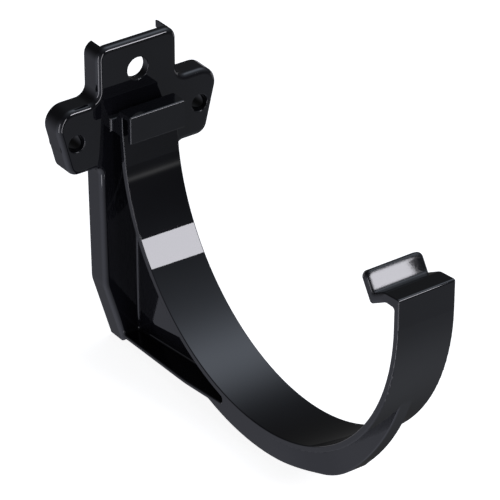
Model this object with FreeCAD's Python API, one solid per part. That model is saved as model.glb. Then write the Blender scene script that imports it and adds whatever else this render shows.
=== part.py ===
import FreeCAD, Part
import math
import os

# Gutter fascia bracket, moulded in one piece. Millimetres.
# X runs along the gutter, Y points into the fascia board, Z is up.
# The origin is on the fascia, midway between the two side screws.

V = FreeCAD.Vector

# Gutter and its place in front of the fascia
gutter_radius = 57.0
gutter_stand_off = 11.9
gutter_rise = 1.6

# Strap round the gutter
strap_width = 17.0
strap_wall = 1.75
back_turn = 9.4
back_gap = 0.4
back_wall = 1.5
lean_top = 1.2
lean_round = 20.0
edge_round = 0.3

# Clip that holds the back edge of the gutter
clip_top = 6.5
clip_bottom = -1.5
clip_slot = 2.4
clip_wall = 1.5
clip_round = 0.45

# Hook that holds the front bead of the gutter
hook_under = 5.35
hook_ridge = 8.35
hook_inner_round = 0.7
hook_outer_round = 0.6
shelf_wall = 2.45
shelf_run = 3.2
shelf_lean = 6.0
shelf_round = 3.0
slope_run = 5.7
slope_drop = 3.25
lip_lean = 32.5
lip_length = 7.9
lip_wall = 2.25
lip_corner = 1.6
lip_round = 0.7
lip_toe_round = 0.9

# Fixing plate: a panel with a skirt turned back to the fascia
plate_depth = 6.5
panel_wall = 2.4
skirt_wall = 1.8
front_round = 1.5

# Tab above the side lobes
tab_half = 12.25
tab_top = 24.7
tab_corner = 3.2
tab_neck = 3.2
ear_half = 9.95
top_hole_height = 16.2
top_hole = 6.3

# Side lobes with the screw bosses
lobe_half = 26.05
lobe_foot = 21.3
lobe_top = 9.7
lobe_bottom = -9.6
lobe_corner = 4.85
lobe_foot_corner = 3.5
lobe_neck = 2.2
screw_spacing = 38.5
screw_hole = 4.8
boss_wall = 2.0
hole_round = 0.3

# Spine that runs down the fascia
spine_half = 12.1
spine_waist = 11.6
waist_share = 0.7
waist_round = 8.0
spine_foot = 5.85
foot_drop = 0.8

# Lower flange, web and rib under the strap
flange_wall = 1.2
flange_slope = 6.0
flange_kink = 19.5
flange_wide_at = 30.0
flange_plan_round = 60.0
flange_root_flare = 0.25
flange_round = 0.45
rib_depth = 5.3
rib_straight_from = 100.0
rib_heel = 117.2
rib_heel_round = 14.0
rib_brow = 137.5
rib_brow_height = 4.1
rib_brow_round = 80.0
rib_end = 158.0
rib_end_sink = 0.3
rib_aim = 129.0
rib_shoulder = -25.5
rib_shoulder_round = 30.0
rib_slope_run = 16.5
rib_waist_half = 2.3
rib_length = 30.0
rib_nose_half = 1.8
rib_nose_round = 1.6
pocket_end = 13.3
pocket_corner = 0.85
web_wall = 2.5
web_fillet = 0.7
void_corner = 0.9
kink_round = 2.0
rib_round = 0.35
cap_bottom = -0.8
cap_top = 2.3
cap_rise = 2.9
cap_run = 1.2
cap_bend = 2.0
cap_fillet = 0.6

gutter_reach = gutter_radius + gutter_stand_off
back_face = gutter_radius + back_gap
strap_half = strap_width / 2
strap_radius = gutter_radius + strap_wall
rib_radius = strap_radius + rib_depth
panel_front = gutter_reach - plate_depth
inside = strap_radius - strap_wall / 2
buried = panel_front + panel_wall / 2
cap_middle = (cap_bottom + cap_top) / 2


def at(y, z, *radius):
    """A point of the side view, given from the gutter's centre."""
    return (y - gutter_reach, z + gutter_rise, *radius)


def polar(radius, degrees):
    """A point round the gutter's centre: 0 is the back, 90 the bottom, 180 the front."""
    a = math.radians(degrees)
    return at(radius * math.cos(a), -radius * math.sin(a))


def point(corner):
    return V(corner[0], corner[1], 0)


def arc(first, middle, last):
    return [Part.Arc(point(first), point(middle), point(last)).toShape()]


def chain(corners, closed=False):
    """Edges of an outline: a corner is (u, v) or (u, v, radius)."""
    count = len(corners)
    cuts = []
    for i, corner in enumerate(corners):
        p = point(corner)
        radius = corner[2] if len(corner) > 2 else 0
        if not radius:
            cuts.append((p, None, p))
            continue
        a = (point(corners[i - 1]) - p).normalize()
        b = (point(corners[(i + 1) % count]) - p).normalize()
        half = a.getAngle(b) / 2
        reach = radius / math.tan(half)
        middle = (a + b).normalize() * (radius / math.sin(half) - radius)
        cuts.append((p + a * reach, p + middle, p + b * reach))
    edges = []
    for i, (start, middle, end) in enumerate(cuts):
        if middle is not None:
            edges.append(Part.Arc(start, middle, end).toShape())
        if i + 1 < count or closed:
            following = cuts[(i + 1) % count][0]
            edges.append(Part.LineSegment(end, following).toShape())
    return edges


def side_prism(edges, half_width):
    """Extrude an outline of the side view, drawn in (y, z), to both sides."""
    turn = FreeCAD.Matrix(0, 0, 1, -half_width,
                          1, 0, 0, 0,
                          0, 1, 0, 0,
                          0, 0, 0, 1)
    wire = Part.Wire(Part.__sortEdges__(edges))
    wire.Placement = FreeCAD.Placement(turn)
    return Part.Face(wire).extrude(V(2 * half_width, 0, 0))


def front_prism(wire, y_from, y_to):
    """Extrude an outline of the front view, drawn in (x, z), along Y."""
    turn = FreeCAD.Matrix(1, 0, 0, 0,
                          0, 0, -1, y_from,
                          0, 1, 0, 0,
                          0, 0, 0, 1)
    drawn = wire.copy()
    drawn.Placement = FreeCAD.Placement(turn)
    return Part.Face(drawn).extrude(V(0, y_to - y_from, 0))


def mirrored(half):
    """Close an outline drawn for X > 0 with its mirror image."""
    return half + [(-c[0], *c[1:]) for c in reversed(half)]


def pick(shape, test):
    """Edges whose ends and middle all pass the test, from the gutter's centre."""
    found = []
    for edge in shape.Edges:
        a, b = edge.ParameterRange
        points = [edge.valueAt(a + (b - a) * t) for t in (0.02, 0.5, 0.98)]
        if all(test(p.x, p.y + gutter_reach, p.z - gutter_rise) for p in points):
            found.append(edge)
    return found


def near(a, b, slack=0.05):
    return abs(a - b) < slack


def step(start, direction, length):
    return (start[0] + direction[0] * length, start[1] + direction[1] * length)


def crossing(p, a, q, b):
    """Where the line through p along a meets the line through q along b."""
    t = ((q[0] - p[0]) * b[1] - (q[1] - p[1]) * b[0]) / (a[0] * b[1] - a[1] * b[0])
    return step(p, a, t)


def make_strap():
    """Clip, strap and hook: one section, the same all along X."""
    back_inner = polar(gutter_radius, back_turn)
    back_outer = polar(strap_radius, back_turn)
    slot_face = back_face - clip_slot
    clip_face = slot_face - clip_wall
    back = chain([
        back_inner,
        at(back_face, lean_top, lean_round),
        at(back_face, clip_top - clip_wall, clip_round),
        at(slot_face, clip_top - clip_wall, clip_round),
        at(slot_face, clip_bottom, clip_round),
        at(clip_face, clip_bottom, clip_round),
        at(clip_face, clip_top, clip_round),
        at(back_face + back_wall, clip_top, clip_round),
        at(back_face + back_wall, lean_top, lean_round),
        back_outer,
    ])
    lean = math.radians(lip_lean)
    slope = math.atan2(slope_drop, slope_run)
    shelf = math.radians(shelf_lean)
    along_lip = (math.sin(lean), math.cos(lean))
    along_slope = (math.cos(slope), -math.sin(slope))
    along_shelf = (math.cos(shelf), -math.sin(shelf))
    shelf_end = (shelf_run - gutter_radius, hook_under)
    toe = step(shelf_end, along_slope, math.hypot(slope_run, slope_drop))
    tip = step(toe, along_lip, lip_length)
    lip_front = (-along_lip[1] * lip_wall, along_lip[0] * lip_wall)
    slope_top = step(shelf_end, (-along_slope[1], along_slope[0]), shelf_wall)
    notch = crossing(slope_top, along_slope, step(toe, lip_front, 1), along_lip)
    bend = crossing(slope_top, along_slope, (-strap_radius, hook_ridge), along_shelf)
    hook = chain([
        at(-gutter_radius, 0),
        at(-gutter_radius, hook_under, hook_inner_round),
        at(*shelf_end, shelf_round),
        at(*toe, lip_toe_round),
        at(*tip),
        at(*step(tip, lip_front, 1)),
        at(*notch),
        at(*bend, shelf_round),
        at(-strap_radius, hook_ridge, hook_outer_round),
        at(-strap_radius, 0),
    ])
    inner = arc(back_inner, polar(gutter_radius, 90), at(-gutter_radius, 0))
    outer = arc(back_outer, polar(strap_radius, 90), at(-strap_radius, 0))
    strap = side_prism(back + inner + hook + outer, strap_half)

    def beyond(y, z):
        """How far a point lies past the end of the lip, along it."""
        return (y - tip[0]) * along_lip[0] + (z - tip[1]) * along_lip[1]

    def before(y, z):
        """How far a point lies in front of the back of the lip."""
        return (toe[0] - y) * along_lip[1] + (z - toe[1]) * along_lip[0]

    corners = pick(strap, lambda x, y, z: near(abs(x), strap_half) and near(beyond(y, z), 0))
    strap = strap.makeFillet(lip_corner, corners)
    front = pick(strap, lambda x, y, z: near(before(y, z), lip_wall) and beyond(y, z) > -lip_length)
    strap = strap.makeFillet(lip_round, [e for e in front if e.BoundBox.ZLength > lip_corner / 2])
    sides = pick(strap, lambda x, y, z: near(abs(x), strap_half))
    end = pick(strap, lambda x, y, z: near(beyond(y, z), 0))
    return strap.makeFillet(edge_round, sides + end)


def plate_outline():
    foot_height = flange_under(gutter_reach) + gutter_rise - foot_drop
    half = [
        (tab_half, tab_top, tab_corner),
        (tab_half, lobe_top, tab_neck),
        (lobe_half, lobe_top, lobe_corner),
        (lobe_foot, lobe_bottom, lobe_foot_corner),
        (spine_half, lobe_bottom, lobe_neck),
        (spine_waist, foot_height * waist_share, waist_round),
        (spine_foot, foot_height),
    ]
    return Part.Wire(Part.__sortEdges__(chain(mirrored(half), closed=True)))


def make_plate():
    """The panel with its skirt, screw bosses, notch and holes."""
    outline = plate_outline()
    plate = front_prism(outline, -plate_depth, 0)
    front = pick(plate, lambda x, y, z: near(y, panel_front))
    plate = plate.makeFillet(front_round, front)
    inner = outline.makeOffset2D(-skirt_wall)
    plate = plate.cut(front_prism(inner, -plate_depth + panel_wall, 1))
    notch = Part.makeBox(2 * ear_half, plate_depth - panel_wall + 1, skirt_wall + 2,
                         V(-ear_half, -plate_depth + panel_wall, tab_top - skirt_wall - 1))
    plate = plate.cut(notch)
    for x in (-screw_spacing / 2, screw_spacing / 2):
        boss = Part.makeCylinder(screw_hole / 2 + boss_wall, plate_depth - panel_wall / 2,
                                 V(x, -plate_depth + panel_wall / 2, 0), V(0, 1, 0))
        plate = plate.fuse(boss)
    for x, z, size in ((-screw_spacing / 2, 0, screw_hole), (screw_spacing / 2, 0, screw_hole),
                       (0, top_hole_height, top_hole)):
        drill = Part.makeCylinder(size / 2, plate_depth + 2, V(x, -plate_depth - 1, z), V(0, 1, 0))
        plate = plate.cut(drill)
    plate = plate.removeSplitter()
    rims = [e for e in plate.Edges if near(e.BoundBox.YMin, -plate_depth)
            and near(e.BoundBox.YMax, -plate_depth) and e.BoundBox.XLength < top_hole + 0.1
            and isinstance(e.Curve, Part.Circle) and near(e.Length, math.pi * 2 * e.Curve.Radius)]
    return plate.makeFillet(hole_round, rims)


def flange_under(y):
    """Height of the flange's underside: it meets the rib's arc at the kink."""
    kink_height = -math.sqrt(rib_radius ** 2 - flange_kink ** 2)
    return kink_height - (y - flange_kink) * math.tan(math.radians(flange_slope))


def make_foot():
    """Flange, web and rib: one block, waisted in plan, with a void each side of the web."""
    kink = (flange_kink, flange_under(flange_kink))
    begin = polar(rib_radius, rib_straight_from)
    heel_radius = rib_radius / math.cos(math.radians(rib_heel - rib_straight_from))
    rising = chain([
        begin,
        (*polar(heel_radius, rib_heel), rib_heel_round),
        (*polar(strap_radius + rib_brow_height, rib_brow), rib_brow_round),
        polar(strap_radius - rib_end_sink, rib_end),
        polar(inside, rib_end),
    ])
    back = chain([
        at(*kink),
        at(buried, flange_under(buried)),
        at(buried, cap_middle),
        at(back_face + back_wall / 2, cap_middle),
        polar(inside, back_turn),
    ])
    bottom = arc(at(*kink), polar(rib_radius, 90), begin)
    hidden = arc(polar(inside, back_turn), polar(inside, 90), polar(inside, rib_end))
    block = side_prism(back + hidden + rising + bottom, strap_half)
    block = block.makeFillet(kink_round, pick(block, lambda x, y, z: near(y, flange_kink)
                                              and near(z, kink[1])))
    foot = block.common(foot_plan()).removeSplitter()

    def below(x, y, z):
        """On the outer edges of flange and rib, clear of the strap and the panel."""
        outer = math.hypot(y, z) > strap_radius + 0.1 and y < buried - 0.1
        return outer and x != 0 and (y < 0 or z < flange_under(y) + 0.3)

    foot = foot.makeFillet(rib_round, pick(foot, below))
    void = make_void()
    foot = foot.cut(void).cut(void.mirror(V(0, 0, 0), V(1, 0, 0)))

    def above(x, y, z):
        """On the rim that the voids leave along the flange and round the pocket's end."""
        rim = z > flange_under(y) + flange_wall - 0.02 and z < -strap_radius + 1.2
        return rim and abs(x) > web_wall and y < panel_front - 0.1

    return foot.makeFillet(flange_round, pick(foot, above))


def void_outline():
    """Side view of the open space between panel, strap, rib and flange."""
    r = pocket_corner
    centre = V(pocket_end + r, -math.sqrt((strap_radius + r) ** 2 - (pocket_end + r) ** 2), 0)
    touch = centre * (strap_radius / (strap_radius + r))
    middle = centre + (V(-1, 0, 0) - V(centre).normalize()).normalize() * r
    back_outer = polar(strap_radius, back_turn)
    top = at(back_face + back_wall, lean_top)
    share = (cap_bottom + gutter_rise - back_outer[1]) / (top[1] - back_outer[1])
    strap_top = back_outer[0] + (top[0] - back_outer[0]) * share
    straight = chain([
        at(pocket_end, centre.y),
        at(pocket_end, flange_under(pocket_end) + flange_wall, pocket_corner),
        at(panel_front, flange_under(panel_front) + flange_wall, void_corner),
        at(panel_front, cap_bottom, void_corner),
        (strap_top, cap_bottom + gutter_rise, void_corner),
        back_outer,
    ])
    turn = arc(at(touch.x, touch.y), at(middle.x, middle.y), at(pocket_end, centre.y))
    under_strap = arc(back_outer, polar(strap_radius, (back_turn + 90) / 2), at(touch.x, touch.y))
    return straight + under_strap + turn


def foot_plan():
    """The foot seen square on: tapered along the flange, waisted along the rib."""
    far = 2 * gutter_reach
    root = spine_foot + flange_root_flare
    back = Part.Wire(chain(mirrored([
        (root, 0),
        (root, -plate_depth, flange_plan_round),
        (strap_half, flange_wide_at - gutter_reach, flange_plan_round),
        (strap_half, -gutter_reach),
    ]), closed=True))
    back = Part.Face(back).extrude(V(0, 0, -far))
    nose = Part.Wire(chain(mirrored([
        (strap_half, -gutter_radius),
        (strap_half, rib_shoulder, rib_shoulder_round),
        (rib_waist_half, rib_shoulder + rib_slope_run, rib_shoulder_round),
        (rib_nose_half, rib_length, rib_nose_round),
    ]), closed=True))
    nose = Part.Face(nose).extrude(V(0, 0, far))
    y, z = at(0, 0)
    nose.Placement = FreeCAD.Placement(V(0, y, z), FreeCAD.Rotation(V(1, 0, 0), 270 - rib_aim))
    return back.fuse(nose)


def make_void():
    """The open space on one side of the web, its rim rounded where it meets the web."""
    far = lobe_half
    void = side_prism(void_outline(), far / 2)
    void.translate(V(web_wall / 2 + far / 2, 0, 0))
    return void.makeFillet(web_fillet, pick(void, lambda x, y, z: near(x, web_wall / 2)))


def make_cap():
    """Block that ties the top of the strap to the plate."""
    outline = chain([
        at(back_face + back_wall / 2, cap_bottom),
        at(buried, cap_bottom),
        at(buried, cap_top),
        at(panel_front - cap_run, cap_top, cap_bend),
        at(back_face + back_wall, cap_top + cap_rise),
        at(back_face + back_wall / 2, cap_top + cap_rise),
    ], closed=True)
    return side_prism(outline, strap_half)


def make_bracket():
    shape = make_strap().fuse([make_foot(), make_cap(), make_plate()]).removeSplitter()

    def cap_root(x, y, z):
        """Where the block at the top meets the panel."""
        level = cap_bottom - 0.1 < z < cap_top + 0.1
        return near(y, panel_front) and level and abs(x) < strap_half + 0.1

    return shape.makeFillet(cap_fillet, pick(shape, cap_root))


os.makedirs("parts", exist_ok=True)
bracket = make_bracket()
bracket.exportStep("parts/gutter_bracket.step")
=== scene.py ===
import math

import bpy
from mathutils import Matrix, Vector


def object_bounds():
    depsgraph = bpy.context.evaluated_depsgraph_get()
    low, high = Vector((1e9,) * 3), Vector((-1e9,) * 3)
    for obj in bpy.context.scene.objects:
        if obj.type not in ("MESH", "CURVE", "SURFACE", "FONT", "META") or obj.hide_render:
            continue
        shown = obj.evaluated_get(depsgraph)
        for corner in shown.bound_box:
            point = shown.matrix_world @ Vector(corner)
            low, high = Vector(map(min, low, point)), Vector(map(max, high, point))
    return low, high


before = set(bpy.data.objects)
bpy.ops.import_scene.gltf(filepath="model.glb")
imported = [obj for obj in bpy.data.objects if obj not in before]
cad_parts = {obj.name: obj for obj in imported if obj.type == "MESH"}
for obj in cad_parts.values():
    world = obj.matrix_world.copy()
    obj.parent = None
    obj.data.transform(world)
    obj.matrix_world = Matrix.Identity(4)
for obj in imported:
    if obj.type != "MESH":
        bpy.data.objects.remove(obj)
cad_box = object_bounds()

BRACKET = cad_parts["gutter_bracket"]

# Camera, matched to the photograph
CAMERA_PLACE = (-0.43104, -0.65865, 0.43048)
CAMERA_TURN = (59.0280, -0.0743, -35.5403)
CAMERA_LENS = 246.6
CAMERA_SENSOR = 36.0
CAMERA_CLIP = (0.05, 20)

# Plastic: index of refraction, darkest and lightest tint, least and most roughness
PLASTIC_IOR = 1.5
PLASTIC_TINTS = [(0.0022, 0.0022, 0.0030, 1), (0.0060, 0.0062, 0.0080, 1)]
PLASTIC_ROUGHNESS = (0.012, 0.028)
# Its noises, each with a scale and a detail
MOTTLE = (60, 4)
POLISH = (180, 5)
# Its bumps, each with the scale and detail of the noise, a strength and a height
RIPPLE = (110, 2, 0.12, 0.00003)
GRAIN = (2600, 3, 0.04, 0.00001)
# The part of the noise's range that POLISH spreads over the roughness
NOISE_RANGE = (0.3, 0.7)

# Softer edges at the hook's lip: middle, radius of the edges, and how far out it stays and fades
LIP_MIDDLE = (0, -0.1160, 0.0085)
LIP_SOFTNESS = 0.0016
LIP_REACH = 0.0050
LIP_FADE = 0.0020
LIP_SAMPLES = 8

# Floor: a little below the bracket, grey in the light and white to the camera
FLOOR_SIZE = 6.0
FLOOR_DROP = 0.0004
FLOOR_GREY = 0.62
FLOOR_WHITE = 0.88

# Room: even glow, and broad soft glows by direction, radiance, tightness and colour
ROOM_GLOW = 0.05
GLOWS = [
    ((0.50, 0.09, 0.86), 1.35, 18, (0.88, 0.97, 1.13)),
    ((0.50, -0.15, 0.85), 0.55, 4, (0.88, 0.97, 1.13)),
    ((-0.80, -0.15, -0.58), 0.99, 2, (0.90, 0.93, 1.10)),
    ((0.45, -0.50, -0.74), 0.33, 7, (0.91, 0.97, 1.08)),
    ((0.482, -0.866, -0.132), 0.66, 5000, (1.00, 1.00, 1.00)),
]

# Lamps: rectangles round the middle of the studio, left out of second reflections
STUDIO_MIDDLE = Vector((0, -0.06, 0))
LAMP_DISTANCE = 1.1
LAMP_COLOUR = (0.94, 0.93, 1.00)
LAMP_BOUNCES = 1
# Front softbox, made of rows because its right side is slanted: direction, radiance, and in
# its plane the bottom, top and left side, the right side at the bottom, and the slant
SOFTBOX_TOWARDS = (0.50, -0.76, 0.43)
SOFTBOX_RADIANCE = 14.3
SOFTBOX_BOTTOM = -0.107
SOFTBOX_TOP = 0.152
SOFTBOX_LEFT = -0.30
SOFTBOX_RIGHT = -0.007
SOFTBOX_SLANT = 0.305
SOFTBOX_ROWS = 20
# Strip lights on the left, fill lights behind and on the right:
# name, direction, width, height and radiance
PANELS = [
    ("strip_front", (-0.07, -1.00, -0.14), 0.16, 0.98, 7.0),
    ("strip_side", (-0.90, -0.43, -0.14), 0.16, 0.98, 7.0),
    ("fill_back", (-0.02, 0.97, -0.26), 0.85, 0.50, 0.9),
    ("fill_back_right", (0.77, 0.59, -0.24), 0.46, 0.40, 0.7),
    ("fill_right", (0.97, 0.00, -0.22), 0.80, 0.40, 0.7),
]


def add_node(tree, kind, **settings):
    node = tree.nodes.new(kind)
    for name, value in settings.items():
        setattr(node, name, value)
    return node


def empty_tree(owner):
    """The owner's node tree, with nothing in it."""
    owner.use_nodes = True
    owner.node_tree.nodes.clear()
    return owner.node_tree


def camera_switch(tree, others, seen_by_camera, out):
    """One shader for camera rays, another for all other rays."""
    path = add_node(tree, "ShaderNodeLightPath")
    mix = add_node(tree, "ShaderNodeMixShader")
    tree.links.new(path.outputs["Is Camera Ray"], mix.inputs["Fac"])
    tree.links.new(others, mix.inputs[1])
    tree.links.new(seen_by_camera, mix.inputs[2])
    tree.links.new(mix.outputs["Shader"], out.inputs["Surface"])


def moulded_plastic():
    """Glossy black moulded plastic: faint flow mottling, uneven polish, ripple and grain."""
    material = bpy.data.materials.new("gloss_black_plastic")
    tree = empty_tree(material)
    out = add_node(tree, "ShaderNodeOutputMaterial")
    shader = add_node(tree, "ShaderNodeBsdfPrincipled")
    tree.links.new(shader.outputs["BSDF"], out.inputs["Surface"])
    shader.inputs["IOR"].default_value = PLASTIC_IOR
    place = add_node(tree, "ShaderNodeTexCoord")

    def noise(scale, detail):
        node = add_node(tree, "ShaderNodeTexNoise")
        node.inputs["Scale"].default_value = scale
        node.inputs["Detail"].default_value = detail
        tree.links.new(place.outputs["Object"], node.inputs["Vector"])
        return node.outputs["Fac"]

    def ranged(value, start, end, low, high, **settings):
        node = add_node(tree, "ShaderNodeMapRange", **settings)
        node.inputs["From Min"].default_value = start
        node.inputs["From Max"].default_value = end
        node.inputs["To Min"].default_value = low
        node.inputs["To Max"].default_value = high
        tree.links.new(value, node.inputs["Value"])
        return node.outputs["Result"]

    def bump(normal, scale, detail, strength, height):
        node = add_node(tree, "ShaderNodeBump")
        node.inputs["Strength"].default_value = strength
        node.inputs["Distance"].default_value = height
        tree.links.new(noise(scale, detail), node.inputs["Height"])
        tree.links.new(normal, node.inputs["Normal"])
        return node.outputs["Normal"]

    tint = add_node(tree, "ShaderNodeMix", data_type="RGBA")
    tint.inputs["A"].default_value, tint.inputs["B"].default_value = PLASTIC_TINTS
    tree.links.new(noise(*MOTTLE), tint.inputs["Factor"])
    tree.links.new(tint.outputs["Result"], shader.inputs["Base Color"])
    tree.links.new(ranged(noise(*POLISH), *NOISE_RANGE, *PLASTIC_ROUGHNESS),
                   shader.inputs["Roughness"])

    # Radius of the softened edges: full near the lip's middle in the side view, none beyond
    flat = add_node(tree, "ShaderNodeVectorMath", operation="MULTIPLY")
    flat.inputs[1].default_value = (0, 1, 1)
    tree.links.new(place.outputs["Object"], flat.inputs[0])
    away = add_node(tree, "ShaderNodeVectorMath", operation="DISTANCE")
    away.inputs[1].default_value = LIP_MIDDLE
    tree.links.new(flat.outputs["Vector"], away.inputs[0])
    softness = ranged(away.outputs["Value"], LIP_REACH, LIP_REACH + LIP_FADE,
                      LIP_SOFTNESS, 0, interpolation_type="SMOOTHSTEP")
    bevel = add_node(tree, "ShaderNodeBevel", samples=LIP_SAMPLES)
    tree.links.new(softness, bevel.inputs["Radius"])
    normal = bump(bump(bevel.outputs["Normal"], *RIPPLE), *GRAIN)
    tree.links.new(normal, shader.inputs["Normal"])
    return material


def pale_floor(bottom):
    """A pale floor, white to the camera but for the bracket's faint shadow."""
    bpy.ops.mesh.primitive_plane_add(size=FLOOR_SIZE, location=(0, 0, bottom - FLOOR_DROP))
    floor = bpy.context.object
    floor.name = "floor"
    material = bpy.data.materials.new("pale_floor")
    tree = empty_tree(material)
    out = add_node(tree, "ShaderNodeOutputMaterial")
    paint = add_node(tree, "ShaderNodeBsdfDiffuse")
    paint.inputs["Color"].default_value = (FLOOR_GREY, FLOOR_GREY, FLOOR_GREY, 1)
    white = add_node(tree, "ShaderNodeEmission")
    white.inputs["Strength"].default_value = FLOOR_WHITE
    both = add_node(tree, "ShaderNodeAddShader")
    tree.links.new(paint.outputs["BSDF"], both.inputs[0])
    tree.links.new(white.outputs["Emission"], both.inputs[1])
    clear = add_node(tree, "ShaderNodeBsdfTransparent")
    camera_switch(tree, clear.outputs["BSDF"], both.outputs["Shader"], out)
    floor.data.materials.append(material)


def studio_world():
    """Dim room with broad soft glows; white where the camera sees past the floor."""
    world = bpy.data.worlds.new("studio")
    bpy.context.scene.world = world
    tree = empty_tree(world)
    out = add_node(tree, "ShaderNodeOutputWorld")
    place = add_node(tree, "ShaderNodeTexCoord")
    total = None
    for towards, radiance, tightness, colour in GLOWS:
        facing = add_node(tree, "ShaderNodeVectorMath", operation="DOT_PRODUCT")
        facing.inputs[1].default_value = Vector(towards).normalized()
        tree.links.new(place.outputs["Generated"], facing.inputs[0])
        front = add_node(tree, "ShaderNodeMath", operation="MAXIMUM")
        front.inputs[1].default_value = 0
        tree.links.new(facing.outputs["Value"], front.inputs[0])
        tight = add_node(tree, "ShaderNodeMath", operation="POWER")
        tight.inputs[1].default_value = tightness
        tree.links.new(front.outputs["Value"], tight.inputs[0])
        lobe = add_node(tree, "ShaderNodeVectorMath", operation="SCALE")
        lobe.inputs[0].default_value = [radiance * c for c in colour]
        tree.links.new(tight.outputs["Value"], lobe.inputs["Scale"])
        add = add_node(tree, "ShaderNodeVectorMath", operation="ADD")
        if total:
            tree.links.new(total, add.inputs[0])
        else:
            add.inputs[0].default_value = (ROOM_GLOW, ROOM_GLOW, ROOM_GLOW)
        tree.links.new(lobe.outputs["Vector"], add.inputs[1])
        total = add.outputs["Vector"]
    glow = add_node(tree, "ShaderNodeBackground")
    tree.links.new(total, glow.inputs["Color"])
    white = add_node(tree, "ShaderNodeBackground")
    white.inputs["Color"].default_value = (1, 1, 1, 1)
    camera_switch(tree, glow.outputs["Background"], white.outputs["Background"], out)


def area_light(name, towards, low, high, left, right, radiance):
    """A rectangular light in a plane square to the given direction."""
    light = bpy.data.lights.new(name, "AREA")
    light.shape = "RECTANGLE"
    light.size, light.size_y = right - left, high - low
    light.energy = radiance * math.pi * light.size * light.size_y
    light.color = LAMP_COLOUR
    light.use_nodes = True
    tree = light.node_tree
    path = add_node(tree, "ShaderNodeLightPath")
    direct = add_node(tree, "ShaderNodeMath", operation="LESS_THAN")
    direct.inputs[1].default_value = LAMP_BOUNCES + 0.5
    tree.links.new(path.outputs["Glossy Depth"], direct.inputs[0])
    tree.links.new(direct.outputs["Value"], tree.nodes["Emission"].inputs["Strength"])
    lamp = bpy.data.objects.new(name, light)
    bpy.context.scene.collection.objects.link(lamp)
    towards = Vector(towards).normalized()
    turn = towards.to_track_quat("Z", "Y")
    middle = turn @ Vector(((left + right) / 2, (low + high) / 2, 0))
    lamp.location = STUDIO_MIDDLE + towards * LAMP_DISTANCE + middle
    lamp.rotation_euler = turn.to_euler()


def lamps():
    row = (SOFTBOX_TOP - SOFTBOX_BOTTOM) / SOFTBOX_ROWS
    for number in range(SOFTBOX_ROWS):
        low = SOFTBOX_BOTTOM + number * row
        right = SOFTBOX_RIGHT + SOFTBOX_SLANT * (number + 1) * row
        area_light(f"softbox_{number}", SOFTBOX_TOWARDS,
                   low, low + row, SOFTBOX_LEFT, right, SOFTBOX_RADIANCE)
    for name, towards, width, height, radiance in PANELS:
        area_light(name, towards,
                   -height / 2, height / 2, -width / 2, width / 2, radiance)


def camera():
    data = bpy.data.cameras.new("camera")
    data.lens = CAMERA_LENS
    data.sensor_width = CAMERA_SENSOR
    data.clip_start, data.clip_end = CAMERA_CLIP
    seer = bpy.data.objects.new("camera", data)
    bpy.context.scene.collection.objects.link(seer)
    seer.location = CAMERA_PLACE
    seer.rotation_euler = [math.radians(a) for a in CAMERA_TURN]
    bpy.context.scene.camera = seer


plastic = moulded_plastic()
for slot in BRACKET.material_slots:
    slot.material = plastic
pale_floor(cad_box[0].z)
studio_world()
lamps()
camera()
bpy.context.scene.view_settings.view_transform = "Standard"
